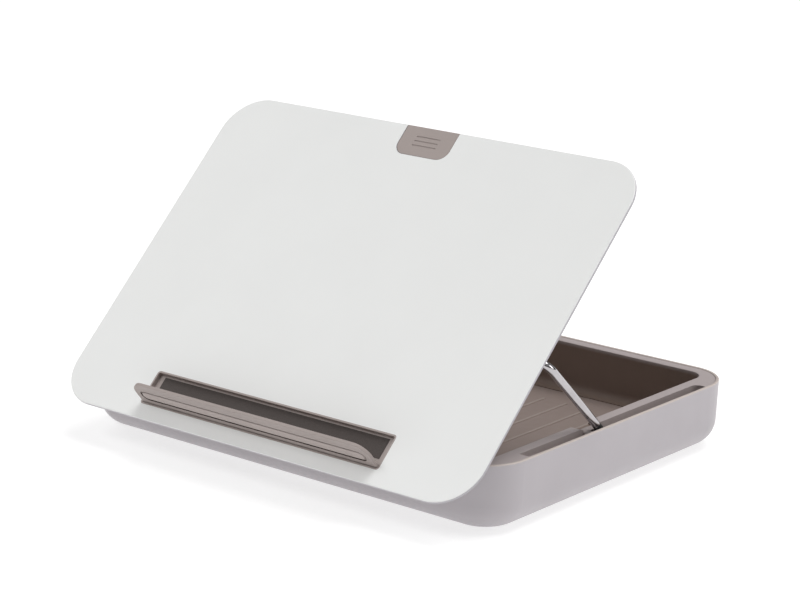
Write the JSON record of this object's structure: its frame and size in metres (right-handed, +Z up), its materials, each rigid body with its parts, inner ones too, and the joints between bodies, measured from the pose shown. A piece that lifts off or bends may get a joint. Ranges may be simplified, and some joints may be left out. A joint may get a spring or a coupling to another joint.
{
  "type": "tablet stand",
  "caption": "Tilting tablet and writing board with a fold-up ledge, propped by a wire strut on a lidded storage tray with side tracks.",
  "frame": {"origin": "centre of the object's box on the surface it stands on, with the board raised and the ledge up", "axes": "+X along the long side, +Y towards the back, +Z up"},
  "size_m": [0.3244, 0.2658, 0.1865],
  "materials": {
    "tray_plastic": "fine satin texture",
    "liner_plastic": "fine satin texture",
    "mat_plastic": "matt, ribbed",
    "ledge_plastic": "satin",
    "grip_plastic": "soft satin",
    "board_white": "satin",
    "base_white": "satin",
    "bearing_plastic": "satin",
    "bush_nylon": "satin",
    "felt_pad": "matt",
    "tip_plastic": "satin",
    "rubber": "matt",
    "screw_steel": "satin",
    "strut_chrome": "polished"
  },
  "bodies": {
    "tray": {"tray_shell": "tray_plastic", "tray_liner": "liner_plastic", "floor_mat": "mat_plastic", "foot_pads": "rubber", "liner_screws": "screw_steel"},
    "board": {"board_top": "board_white", "board_base": "base_white", "board_screws": "screw_steel", "tab_insert": "ledge_plastic", "tab_screws": "screw_steel", "lid_pads": "rubber", "lip_hook_left": "bearing_plastic", "lip_hook_right": "bearing_plastic", "hook_screws": "screw_steel", "hinge_block_left": "bearing_plastic", "hinge_block_right": "bearing_plastic", "hinge_cap_left": "bearing_plastic", "hinge_cap_right": "bearing_plastic", "bush_left": "bush_nylon", "bush_right": "bush_nylon", "hinge_screws": "screw_steel", "ledge_frame": "ledge_plastic", "ledge_pins": "screw_steel", "ledge_springs": "screw_steel", "ledge_pad": "felt_pad"},
    "strut": {"strut_bail": "strut_chrome", "foot_tips": "tip_plastic"},
    "ledge": {"ledge_flap": "ledge_plastic", "ledge_grip": "grip_plastic"}
  },
  "joints": [
    {"name": "board_tilt", "type": "hinge", "parent": "tray", "child": "board", "pos_m": [0, -0.1065, 0.042], "axis": [1, 0, 0], "range_deg": [-38, 0]},
    {"name": "strut_fold", "type": "hinge", "parent": "board", "child": "strut", "pos_m": [0, -0.05185, 0.08935], "axis": [1, 0, 0], "range_deg": [0, 76]},
    {"name": "ledge_fold", "type": "hinge", "parent": "board", "child": "ledge", "pos_m": [0, -0.12003, 0.03255], "axis": [1, 0, 0], "range_deg": [-85, 0]}
  ],
  "couplings": [
    {"joint": "strut_fold", "follows": "board_tilt", "ratio": -2}
  ]
}
